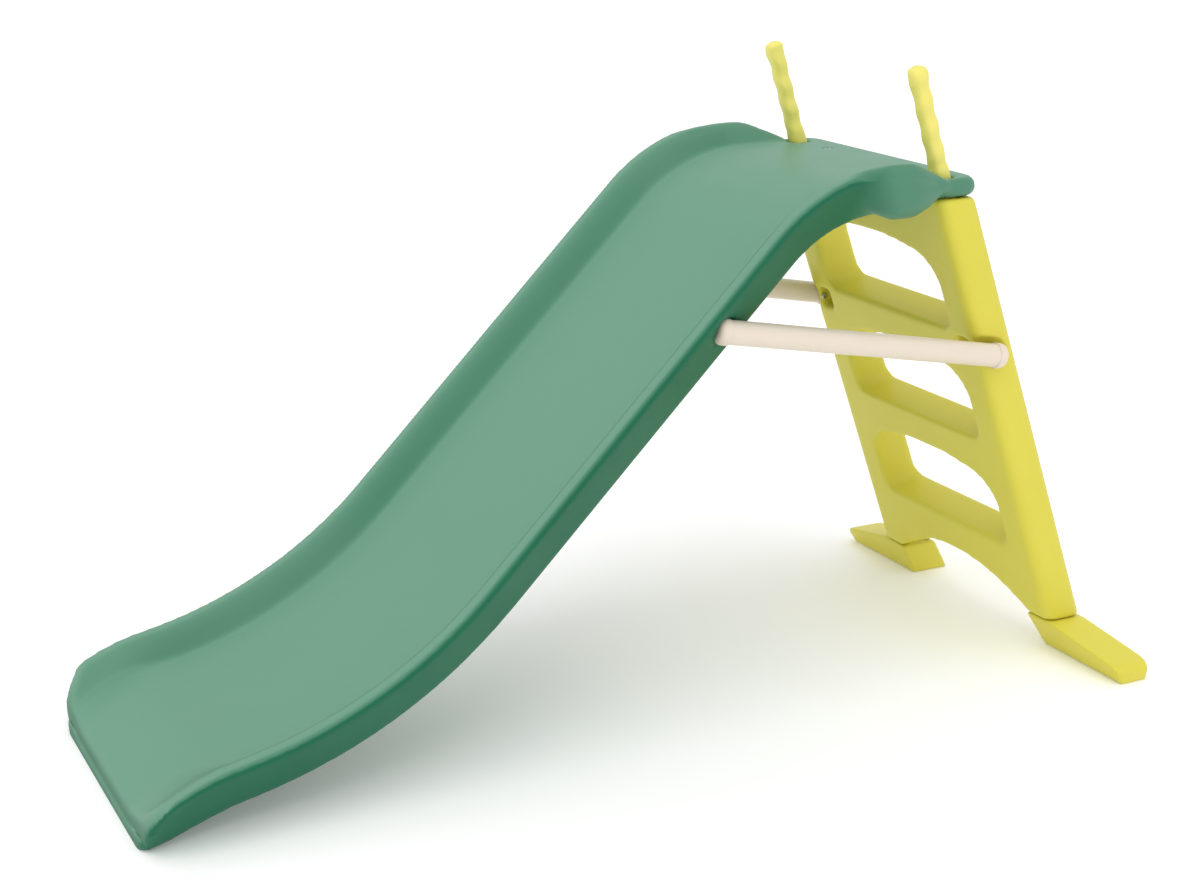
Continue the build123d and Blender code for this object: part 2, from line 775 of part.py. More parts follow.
def build():
    """Every piece of the slide, by name."""
    pieces = {"chute": chute(), "ladder": ladder()}
    for side in (1, -1):
        name = side_name(side)
        pieces[name + "_handle"] = handle(side)
        pieces[name + "_foot"] = foot(side)
        pieces[name + "_strut_tube"] = strut_tube(side)
        pieces[name + "_front_tube_cap"] = tube_cap(side, True)
        pieces[name + "_rear_tube_cap"] = tube_cap(side, False)
        pieces[name + "_deck_screw"] = deck_screw(side)
        pieces[name + "_deck_washer"] = deck_washer(side)
        pieces[name + "_deck_nut"] = deck_nut(side)
        pieces[name + "_handle_screw"] = rail_screw(handle_screw_place(side))
        pieces[name + "_foot_screw"] = rail_screw(foot_screw_place(side))
        pieces[name + "_strut_screw"] = rail_screw(strut_screw_place(side))
    return pieces


os.makedirs("parts", exist_ok=True)
for node, piece in build().items():
    export_step(piece, "parts/" + node + ".step")
    print(node, round(piece.volume / 1000, 1), "cm3")
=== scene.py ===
import json
import logging
import math
from dataclasses import dataclass
from enum import Enum

import bpy
import numpy as np
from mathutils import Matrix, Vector


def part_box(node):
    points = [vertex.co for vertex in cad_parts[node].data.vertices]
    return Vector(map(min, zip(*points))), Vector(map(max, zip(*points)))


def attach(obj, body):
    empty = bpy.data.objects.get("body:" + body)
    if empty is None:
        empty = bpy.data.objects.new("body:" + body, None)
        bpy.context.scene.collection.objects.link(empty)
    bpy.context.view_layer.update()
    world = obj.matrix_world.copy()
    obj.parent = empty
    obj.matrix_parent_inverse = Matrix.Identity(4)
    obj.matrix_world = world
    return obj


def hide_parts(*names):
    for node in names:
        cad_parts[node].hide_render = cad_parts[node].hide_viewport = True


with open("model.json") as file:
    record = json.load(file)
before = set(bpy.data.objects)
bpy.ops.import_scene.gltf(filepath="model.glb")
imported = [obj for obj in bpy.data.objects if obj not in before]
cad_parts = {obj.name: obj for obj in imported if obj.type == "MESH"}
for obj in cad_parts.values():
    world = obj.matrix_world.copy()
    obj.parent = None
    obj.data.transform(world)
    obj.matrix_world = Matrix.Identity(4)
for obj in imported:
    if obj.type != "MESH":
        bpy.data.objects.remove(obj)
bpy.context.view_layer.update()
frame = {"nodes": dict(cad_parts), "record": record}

log = logging.getLogger("wave_slide")

MM = 0.001


class Side(Enum):
    """The two sides of the slide; the value is the sign of Y."""

    LEFT = 1.0
    RIGHT = -1.0

    @property
    def word(self) -> str:
        """The side as the CAD nodes spell it."""
        return self.name.lower()


# ---------------------------------------------------------------- colours and nodes


def linear(hex_colour: str) -> tuple[float, float, float, float]:
    """Turn an sRGB hex colour to linear light.

    Args:
        hex_colour: six hex digits with a leading hash.

    Returns:
        Red, green, blue and alpha, as Blender's sockets take them.
    """
    channels = [int(hex_colour[i:i + 2], 16) / 255 for i in (1, 3, 5)]
    bright = [c / 12.92 if c <= 0.04045 else ((c + 0.055) / 1.055) ** 2.4 for c in channels]
    return (bright[0], bright[1], bright[2], 1.0)


def add_node(
    tree: bpy.types.NodeTree,
    kind: str,
    settings: dict[str | int, object] | None = None,
    links: dict[str | int, bpy.types.NodeSocket] | None = None,
) -> bpy.types.Node:
    """Add a shader node, set it and link it.

    Args:
        tree: node tree that gets the node.
        kind: the node's type, such as ShaderNodeTexNoise.
        settings: values by socket name or number, or by attribute name.
        links: output sockets by the name or number of the input they feed.

    Returns:
        The new node.
    """
    node = tree.nodes.new(kind)
    for key, value in (settings or {}).items():
        if isinstance(key, int) or key in node.inputs:
            node.inputs[key].default_value = value
        else:
            setattr(node, key, value)
    for key, socket in (links or {}).items():
        tree.links.new(socket, node.inputs[key])
    return node


def new_material(name: str) -> tuple[bpy.types.Material, bpy.types.NodeTree]:
    """Make an empty node material.

    Args:
        name: the material's name.

    Returns:
        The material and its cleared node tree.
    """
    material = bpy.data.materials.new(name)
    material.use_nodes = True
    material.node_tree.nodes.clear()
    return material, material.node_tree


# ---------------------------------------------------------------- finishes


@dataclass(frozen=True)
class MouldedPlastic:
    """Polyolefin with its colour in the melt, blown or injected into a blasted mould.

    The eye sees an even colour with faint cloudy mottling where the wall cooled unevenly,
    a broad satin sheen, and a fine leathery grain left by the blasted tool. Part of the light
    and sheen is painted in: faces that look up, and the top of the slide, are drawn lighter.
    """

    name: str
    colour: str
    cloud_colour: str
    painted_lit_colour: str
    roughness: float = 0.42
    roughness_below: float = 0.06
    roughness_above: float = 0.08
    # painted light and sheen on faces that look up: full where the normal's rise reaches the
    # value below, and less on the flanks
    lit_rise_full: float = 0.74
    flank_from: float = 0.12
    flank_full: float = 0.6
    flank_lit_share: float = 0.5
    # painted light: along X, from where the cheeks at the top of the slide turn to the light, the
    # piece is drawn lighter all round
    deck_end_lit_from_mm: float = 245.0
    deck_end_lit_run_mm: float = 70.0
    deck_end_lit_share: float = 0.6
    grain_mm: float = 1.3
    grain_depth_mm: float = 0.05
    cloud_mm: float = 120.0
    ripple_mm: float = 38.0
    ripple_depth_mm: float = 0.22
    ior: float = 1.42

    def build(self) -> bpy.types.Material:
        """Build the material.

        Returns:
            The finished material.
        """
        material, tree = new_material(self.name)
        coordinates = add_node(tree, "ShaderNodeTexCoord").outputs
        place = coordinates["Object"]
        cloud = add_node(
            tree,
            "ShaderNodeTexNoise",
            {"Scale": 1 / (self.cloud_mm * MM), "Detail": 4.0, "Roughness": 0.6},
            {"Vector": place},
        )
        spread = add_node(
            tree,
            "ShaderNodeMapRange",
            {"From Min": 0.3, "From Max": 0.7},
            {"Value": cloud.outputs["Fac"]},
        )
        tint = add_node(
            tree,
            "ShaderNodeMix",
            {"data_type": "RGBA", 6: linear(self.colour), 7: linear(self.cloud_colour)},
            {0: spread.outputs["Result"]},
        )
        # painted light and sheen: the faces that look up are drawn lighter, as if lit; walls and
        # undersides keep their colour
        facing = add_node(tree, "ShaderNodeSeparateXYZ", links={"Vector": coordinates["Normal"]})
        upward = add_node(
            tree,
            "ShaderNodeMapRange",
            {"interpolation_type": "SMOOTHSTEP", "From Min": 0.0, "From Max": self.lit_rise_full},
            {"Value": facing.outputs["Z"]},
        )
        sideways = add_node(
            tree, "ShaderNodeMath", {"operation": "ABSOLUTE"}, {0: facing.outputs["Y"]}
        )
        flank = add_node(
            tree,
            "ShaderNodeMapRange",
            {
                "From Min": self.flank_from,
                "From Max": self.flank_full,
                "To Min": 1.0,
                "To Max": self.flank_lit_share,
            },
            {"Value": sideways.outputs["Value"]},
        )
        top_lit_mask = add_node(
            tree,
            "ShaderNodeMath",
            {"operation": "MULTIPLY"},
            {0: upward.outputs["Result"], 1: flank.outputs["Result"]},
        )
        # painted light: the cheeks at the top of the slide, and all that lies further along X,
        # are drawn lighter all round, as if lit
        along = add_node(tree, "ShaderNodeSeparateXYZ", links={"Vector": place})
        deck_end_lit_mask = add_node(
            tree,
            "ShaderNodeMapRange",
            {
                "interpolation_type": "SMOOTHSTEP",
                "From Min": self.deck_end_lit_from_mm * MM,
                "From Max": (self.deck_end_lit_from_mm + self.deck_end_lit_run_mm) * MM,
                "To Max": self.deck_end_lit_share,
            },
            {"Value": along.outputs["X"]},
        )
        painted_light_mask = add_node(
            tree,
            "ShaderNodeMath",
            {"operation": "MAXIMUM"},
            {0: top_lit_mask.outputs["Value"], 1: deck_end_lit_mask.outputs["Result"]},
        )
        # painted light: the lighter colour is mixed in where the masks above ask for it
        lit_tint = add_node(
            tree,
            "ShaderNodeMix",
            {"data_type": "RGBA", 7: linear(self.painted_lit_colour)},
            {0: painted_light_mask.outputs["Value"], 6: tint.outputs[2]},
        )
        # the blasted grain, drawn a little coarser than life so that it shows
        grain = add_node(
            tree,
            "ShaderNodeTexNoise",
            {"Scale": 1 / (self.grain_mm * MM), "Detail": 2.0, "Roughness": 0.55},
            {"Vector": place},
        )
        # slow unevenness of a blown wall, which breaks up long highlights
        ripple = add_node(
            tree,
            "ShaderNodeTexNoise",
            {"Scale": 1 / (self.ripple_mm * MM), "Detail": 1.0},
            {"Vector": place},
        )
        wavy = add_node(
            tree,
            "ShaderNodeBump",
            {"Strength": 1.0, "Distance": self.ripple_depth_mm * MM},
            {"Height": ripple.outputs["Fac"]},
        )
        grained = add_node(
            tree,
            "ShaderNodeBump",
            {"Strength": 1.0, "Distance": self.grain_depth_mm * MM},
            {"Height": grain.outputs["Fac"], "Normal": wavy.outputs["Normal"]},
        )
        gloss = add_node(
            tree,
            "ShaderNodeMapRange",
            {
                "To Min": self.roughness - self.roughness_below,
                "To Max": self.roughness + self.roughness_above,
            },
            {"Value": cloud.outputs["Fac"]},
        )
        shader = add_node(
            tree,
            "ShaderNodeBsdfPrincipled",
            {"IOR": self.ior},
            {
                "Base Color": lit_tint.outputs[2],
                "Roughness": gloss.outputs["Result"],
                "Normal": grained.outputs["Normal"],
            },
        )
        add_node(tree, "ShaderNodeOutputMaterial", links={"Surface": shader.outputs["BSDF"]})
        return material


@dataclass(frozen=True)
class PowderCoat:
    """Steel tube under a baked polyester powder coat.

    The eye sees a warm, even cream with a soft gloss and the faint orange peel of powder
    that has flowed and set.
    """

    name: str
    colour: str
    shade: str
    roughness: float = 0.34
    peel_mm: float = 2.4
    peel_depth_mm: float = 0.05
    dust_mm: float = 60.0

    def build(self) -> bpy.types.Material:
        """Build the material.

        Returns:
            The finished material.
        """
        material, tree = new_material(self.name)
        place = add_node(tree, "ShaderNodeTexCoord").outputs["Object"]
        peel = add_node(
            tree,
            "ShaderNodeTexNoise",
            {"Scale": 1 / (self.peel_mm * MM), "Detail": 2.0},
            {"Vector": place},
        )
        dust = add_node(
            tree,
            "ShaderNodeTexNoise",
            {"Scale": 1 / (self.dust_mm * MM), "Detail": 5.0, "Roughness": 0.65},
            {"Vector": place},
        )
        tint = add_node(
            tree,
            "ShaderNodeMix",
            {"data_type": "RGBA", 6: linear(self.colour), 7: linear(self.shade)},
            {0: dust.outputs["Fac"]},
        )
        bump = add_node(
            tree,
            "ShaderNodeBump",
            {"Strength": 1.0, "Distance": self.peel_depth_mm * MM},
            {"Height": peel.outputs["Fac"]},
        )
        shader = add_node(
            tree,
            "ShaderNodeBsdfPrincipled",
            {"Roughness": self.roughness, "Coat Weight": 0.15, "Coat Roughness": 0.2},
            {"Base Color": tint.outputs[2], "Normal": bump.outputs["Normal"]},
        )
        add_node(tree, "ShaderNodeOutputMaterial", links={"Surface": shader.outputs["BSDF"]})
        return material


@dataclass(frozen=True)
class ZincPlate:
    """Cold-headed steel with bright zinc plating.

    The eye sees a cool grey metal whose gloss is broken by faint cloudy passivation.
    """

    name: str
    colour: str = "#C9CCD0"
    stain: str = "#A7ABB0"
    roughness: float = 0.3
    roughness_below: float = 0.08
    roughness_above: float = 0.14
    cloud_mm: float = 3.0

    def build(self) -> bpy.types.Material:
        """Build the material.

        Returns:
            The finished material.
        """
        material, tree = new_material(self.name)
        place = add_node(tree, "ShaderNodeTexCoord").outputs["Object"]
        cloud = add_node(
            tree,
            "ShaderNodeTexNoise",
            {"Scale": 1 / (self.cloud_mm * MM), "Detail": 6.0},
            {"Vector": place},
        )
        tint = add_node(
            tree,
            "ShaderNodeMix",
            {"data_type": "RGBA", 6: linear(self.colour), 7: linear(self.stain)},
            {0: cloud.outputs["Fac"]},
        )
        gloss = add_node(
            tree,
            "ShaderNodeMapRange",
            {
                "To Min": self.roughness - self.roughness_below,
                "To Max": self.roughness + self.roughness_above,
            },
            {"Value": cloud.outputs["Fac"]},
        )
        shader = add_node(
            tree,
            "ShaderNodeBsdfPrincipled",
            {"Metallic": 1.0},
            {"Base Color": tint.outputs[2], "Roughness": gloss.outputs["Result"]},
        )
        add_node(tree, "ShaderNodeOutputMaterial", links={"Surface": shader.outputs["BSDF"]})
        return material


@dataclass(frozen=True)
class PaperFloor:
    """Seamless studio paper: matt, all but white, with a faint fibre."""

    name: str = "studio paper, uncoated"
    colour: str = "#FAFAFA"
    glow: float = 0.12
    fibre_mm: float = 2.0
    fibre_depth_mm: float = 0.1

    def build(self) -> bpy.types.Material:
        """Build the material.

        Returns:
            The finished material.
        """
        material, tree = new_material(self.name)
        place = add_node(tree, "ShaderNodeTexCoord").outputs["Object"]
        fibre = add_node(
            tree,
            "ShaderNodeTexNoise",
            {"Scale": 1 / (self.fibre_mm * MM), "Detail": 3.0},
            {"Vector": place},
        )
        bump = add_node(
            tree,
            "ShaderNodeBump",
            {"Strength": 0.2, "Distance": self.fibre_depth_mm * MM},
            {"Height": fibre.outputs["Fac"]},
        )
        shader = add_node(
            tree,
            "ShaderNodeBsdfPrincipled",
            {
                "Base Color": linear(self.colour),
                "Roughness": 1.0,
                "Specular IOR Level": 0.0,
                "Emission Color": linear(self.colour),
                "Emission Strength": self.glow,
            },
            {"Normal": bump.outputs["Normal"]},
        )
        add_node(tree, "ShaderNodeOutputMaterial", links={"Surface": shader.outputs["BSDF"]})
        return material


# ---------------------------------------------------------------- mesh helpers


def select_only(piece: bpy.types.Object) -> None:
    """Leave one object selected and active."""
    bpy.ops.object.select_all(action="DESELECT")
    piece.select_set(True)
    bpy.context.view_layer.objects.active = piece


def apply_modifier(piece: bpy.types.Object, kind: str, **settings: object) -> None:
    """Add a modifier to a piece and apply it.

    Args:
        piece: object that gets the modifier.
        kind: the modifier's type, such as REMESH.
        settings: the modifier's values by name.
    """
    select_only(piece)
    modifier = piece.modifiers.new(kind.title(), kind)
    for key, value in settings.items():
        setattr(modifier, key, value)
    bpy.ops.object.modifier_apply(modifier=modifier.name)


def read_points(piece: bpy.types.Object) -> np.ndarray:
    """Vertex places of a piece, one row each."""
    points = np.empty(len(piece.data.vertices) * 3, np.float32)
    piece.data.vertices.foreach_get("co", points)
    return points.reshape(-1, 3).astype(float)


def write_points(piece: bpy.types.Object, points: np.ndarray) -> None:
    """Put vertex places back into a piece."""
    piece.data.vertices.foreach_set("co", points.astype(np.float32).ravel())
    piece.data.update()


def read_normals(piece: bpy.types.Object) -> np.ndarray:
    """Vertex normals of a piece, one row each."""
    normals = np.empty(len(piece.data.vertices) * 3, np.float32)
    piece.data.vertices.foreach_get("normal", normals)
    return normals.reshape(-1, 3).astype(float)


def smooth_step(low: float, high: float, values: np.ndarray) -> np.ndarray:
    """Ease from 0 at low to 1 at high.

    Args:
        low: value where the ease starts.
        high: value where it ends; it may be below low.
        values: where to read it.

    Returns:
        The eased share at each value.
    """
    share = np.clip((values - low) / (high - low), 0.0, 1.0)
    return share * share * (3.0 - 2.0 * share)


def dress(piece: bpy.types.Object, material: bpy.types.Material, slot: str, *nodes: str) -> None:
    """Give a new piece its material and its place in the frame.

    Args:
        piece: the finished mesh.
        material: its finish.
        slot: the record's material slot; not used.
        nodes: CAD nodes that the piece stands for.
    """
    piece.data.materials.clear()
    piece.data.materials.append(material)
    select_only(piece)
    bpy.ops.object.shade_smooth()
    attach(piece, "root")
    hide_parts(*nodes)
    log.info("%s: %d faces", piece.name, len(piece.data.polygons))


# ---------------------------------------------------------------- sub-assemblies


@dataclass
class Moulding:
    """A hollow moulded body, softened from the outer skin of its CAD node."""

    material: bpy.types.Material
    node: str = ""
    name: str = ""
    slot: str = ""
    voxel: float = 4.0 * MM
    soften_rounds: int = 6
    settle_rounds: int = 3
    soften_share: float = 0.5
    kept_share: float = 1.0

    def outer_skin(self) -> bpy.types.Object:
        """Copy the node's outer skin and leave its hollow behind.

        Returns:
            A closed, merged mesh named for the piece.
        """
        source = frame["nodes"][self.node]
        copy = bpy.data.objects.new(self.name, source.data.copy())
        bpy.context.scene.collection.objects.link(copy)
        select_only(copy)
        bpy.ops.object.mode_set(mode="EDIT")
        bpy.ops.mesh.select_all(action="SELECT")
        bpy.ops.mesh.remove_doubles(threshold=0.01 * MM)
        bpy.ops.mesh.separate(type="LOOSE")
        bpy.ops.object.mode_set(mode="OBJECT")
        shells = list(bpy.context.selected_objects)
        skin = max(shells, key=lambda shell: shell.dimensions.length)
        for shell in shells:
            if shell is not skin:
                bpy.data.objects.remove(shell)
        skin.name = self.name
        return skin

    def soften(self, skin: bpy.types.Object) -> None:
        """Remesh a skin evenly and round its edges, as a blown wall rounds them.

        Args:
            skin: the merged mesh.
        """
        apply_modifier(skin, "REMESH", mode="VOXEL", voxel_size=self.voxel, adaptivity=0.0)
        apply_modifier(skin, "SMOOTH", factor=self.soften_share, iterations=self.soften_rounds)
        if self.kept_share < 1.0:
            apply_modifier(skin, "DECIMATE", ratio=self.kept_share)

    def shape(self, skin: bpy.types.Object) -> None:
        """Add the piece's own moulded forms; a plain moulding has none."""

    def build(self) -> bpy.types.Object:
        """Build and dress the piece.

        Returns:
            The finished object.
        """
        skin = self.outer_skin()
        self.soften(skin)
        self.shape(skin)
        apply_modifier(skin, "SMOOTH", factor=self.soften_share, iterations=self.settle_rounds)
        dress(skin, self.material, self.slot, self.node)
        return skin


@dataclass
class Chute(Moulding):
    """The S-curved chute: its rims end in round cheeks at the deck and in a low nose."""

    node: str = "chute"
    name: str = "chute_moulding"
    slot: str = "green_plastic"
    voxel: float = 4.8 * MM
    # the deck runs from the crest, where the bed ends, to the chute's rear edge
    deck_run: float = 153 * MM
    deck_level: float = 740 * MM
    rim_level: float = 770 * MM
    # the rims' inner slopes: where they rise from the bed, and the bulge on them
    slope_foot: float = 177 * MM
    slope_run: float = 52 * MM
    rim_rise: float = 30 * MM
    bulge_share: float = 0.75
    bulge_near_lip: float = 0.5
    bulge_past_crest: float = 60 * MM
    top_normals: tuple[float, float] = (0.05, 0.3)
    # towards the lip the slopes' feet spread both ways and fade into the bed
    spread_inwards: float = 60 * MM
    spread_outwards: float = 66 * MM
    spread_share: float = 0.85
    spread_near_lip: float = 0.4
    spread_end: float = 1.6
    # the cheeks; spans are distances behind the crest
    cheek_inner: float = 205 * MM
    cheek_outer: float = 247 * MM
    deck_half: float = 215 * MM
    cheek_foot: float = 691 * MM
    cheek_lift: float = 35 * MM
    cheek_middle: float = 0.35
    fall_span: tuple[float, float] = (14 * MM, 88 * MM)
    lift_span: tuple[float, float] = (24 * MM, 106 * MM)
    taper_span: tuple[float, float] = (12 * MM, 112 * MM)
    end_span: tuple[float, float] = (104 * MM, 66 * MM)
    turn_angles: tuple[float, float] = (0.1, 0.8)
    # the line on which a wall turns into its cheek leans back towards its foot
    fold_start: float = -76 * MM
    fold_level: float = 756 * MM
    fold_lean: float = 0.96
    fold_span: tuple[float, float] = (-14 * MM, 34 * MM)
    # the nose: how far back it starts, and how much the bed and the rims sink at the lip
    nose_run: float = 110 * MM
    bed_sink: float = 0.5
    rim_sink: float = 0.3
    bed_half: float = 172 * MM
    rim_half: float = 235 * MM
    # the underside, which comes down to the foot of the lip
    body_clearance: float = 12 * MM
    apron_rise: float = 0.2
    heel_run: float = 120 * MM
    wall_height: float = 48 * MM

    def shape(self, skin: bpy.types.Object) -> None:
        """Swell the cheeks at the deck and roll the lip down to the floor.

        Args:
            skin: the softened skin, shaped in place.
        """
        points = read_points(skin)
        low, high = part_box(self.node)
        self.swell_rims(points, read_normals(skin), low.x, high.x - self.deck_run)
        self.swell_cheeks(points, high.x - self.deck_run)
        self.sink_nose(points, low.x)
        write_points(skin, points)

    def swell_rims(
        self, points: np.ndarray, normals: np.ndarray, lip: float, crest: float
    ) -> None:
        """Make each rim's inner side a convex bulge that is steepest where it meets the bed.

        Args:
            points: the skin's vertices, changed in place.
            normals: their normals.
            lip: front of the lip, along X.
            crest: where the bed becomes the deck, along X.
        """
        out = np.abs(points[:, 1])
        share = np.clip((out - self.slope_foot) / self.slope_run, 0.0, 1.0)
        swell = self.rim_rise * self.bulge_share * (np.sin(share * math.pi / 2) - share)
        upward = normals * np.array([1.0, 0.0, 1.0])
        upward /= np.maximum(np.linalg.norm(upward, axis=1), 1e-6)[:, None]
        top = smooth_step(*self.top_normals, normals[:, 2])
        spread_end = self.nose_run * self.spread_end
        fade = top * smooth_step(
            self.nose_run * self.bulge_near_lip, spread_end, points[:, 0] - lip
        )
        fade = fade * smooth_step(self.bulge_past_crest, 0.0, points[:, 0] - crest)
        points += upward * (swell * fade)[:, None]
        # the rims open out and their feet fade into the bed towards the lip
        blend = smooth_step(
            spread_end, self.nose_run * self.spread_near_lip, points[:, 0] - lip
        )
        smooth = smooth_step(
            self.slope_foot - self.spread_inwards, self.slope_foot + self.spread_outwards, out
        )
        points[:, 2] += blend * top * self.rim_rise * self.spread_share * (smooth - share)

    def swell_cheeks(self, points: np.ndarray, crest: float) -> None:
        """Turn each side wall's end into a round cheek that hangs beside the deck.

        Args:
            points: the skin's vertices, changed in place.
            crest: where the bed becomes the deck, along X.
        """
        x = points[:, 0] - crest
        side = np.sign(points[:, 1])
        out = np.abs(points[:, 1])
        up = points[:, 2]
        fall = self.rim_level - self.deck_level
        top = self.rim_level - fall * smooth_step(*self.fall_span, x)
        foot = self.cheek_foot + self.cheek_lift * smooth_step(*self.lift_span, x)
        middle = foot + self.cheek_middle * (top - foot)
        taper = self.cheek_outer - self.deck_half
        reach = self.cheek_outer - taper * smooth_step(*self.taper_span, x)
        start = self.fold_start + self.fold_lean * (self.fold_level - up)
        weight = smooth_step(*self.fold_span, x - start) * smooth_step(*self.end_span, x)
        across = out - self.cheek_inner
        rise = up - middle
        angle = np.arctan2(np.maximum(across, 0.0), rise)
        height = np.where(rise > 0, top - middle, middle - foot)
        width = reach - self.cheek_inner
        radius = 1 / np.sqrt((np.sin(angle) / width) ** 2 + (np.cos(angle) / height) ** 2)
        weight = weight * smooth_step(*self.turn_angles, angle) * (across > 0)
        points[:, 1] += side * weight * (self.cheek_inner + radius * np.sin(angle) - out)
        points[:, 2] += weight * (middle + radius * np.cos(angle) - up)

    def sink_nose(self, points: np.ndarray, lip: float) -> None:
        """Roll the bed and the rims down at the lip, and bring the underside to its foot.

        Args:
            points: the skin's vertices, changed in place.
            lip: front of the lip, along X.
        """
        x = points[:, 0] - lip
        out = np.abs(points[:, 1])
        share = self.bed_sink + (self.rim_sink - self.bed_sink) * smooth_step(
            self.bed_half, self.rim_half, out
        )
        ahead = np.clip(1 - x / self.nose_run, 0.0, 1.0)
        # the lower edge of the side wall rises straight from the tip of the lip
        under = self.body_clearance + self.apron_rise * np.maximum(x, 0.0)
        pull = self.body_clearance * np.clip(1 - x / self.heel_run, 0.0, 1.0)
        above = np.clip(1 - (points[:, 2] - under) / self.wall_height, 0.0, 1.0)
        squeeze = np.minimum(points[:, 2] / under, 1.0)
        points[:, 2] -= pull * above * squeeze
        points[:, 2] *= 1 - share * ahead ** 2
        points[:, 2] = np.maximum(points[:, 2], 0.0)


@dataclass
class Ladder(Moulding):
    """The leaning ladder with its step openings."""

    node: str = "ladder"
    name: str = "ladder_moulding"
    slot: str = "yellow_plastic"
    voxel: float = 3.4 * MM
    kept_share: float = 0.66
    soften_rounds: int = 18
    settle_rounds: int = 5
    trough_gap: float = 5 * MM
    trough_lead: float = 120 * MM
    trough_end_share: float = 0.55

    def shape(self, skin: bpy.types.Object) -> None:
        """Open a rounded trough round the rear end of each tube.

        Args:
            skin: the softened skin, shaped in place.
        """
        points = read_points(skin)
        for side in Side:
            self.open_trough(points, f"{side.word}_strut_tube", f"{side.word}_rear_tube_cap")
        write_points(skin, points)

    def open_trough(self, points: np.ndarray, tube: str, cap: str) -> None:
        """Push a rail's skin away from the tube and the cap that lie in it.

        Args:
            points: the skin's vertices, changed in place.
            tube: CAD node of the tube.
            cap: CAD node of the cap on its rear end.
        """
        front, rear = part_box(tube)
        low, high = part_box(cap)
        radius = (high.y - low.y) / 2 + self.trough_gap
        end = np.array([high.x, (low.y + high.y) / 2, (low.z + high.z) / 2])
        start = np.array([front.x, end[1], rear.z])
        start[2] -= radius - self.trough_gap
        along = (end - start) / np.linalg.norm(end - start)
        tail = end - along * radius * self.trough_end_share
        reach = points - tail
        run = reach @ along
        foot = tail + np.outer(np.minimum(run, 0.0), along)
        away = points - foot
        distance = np.linalg.norm(away, axis=1)
        push = np.maximum(radius - distance, 0.0) * (run > -self.trough_lead)
        # the rail's skin gives way sideways and along it, and never outwards past its face
        direction = away / np.maximum(distance, 1e-6)[:, None]
        inward = np.sign(points[:, 1]) * direction[:, 1] > 0
        direction[inward, 1] = 0.0
        points += direction * push[:, None]


@dataclass
class Foot(Moulding):
    """A stabiliser foot."""

    slot: str = "yellow_plastic"
    voxel: float = 2.4 * MM
    soften_rounds: int = 12


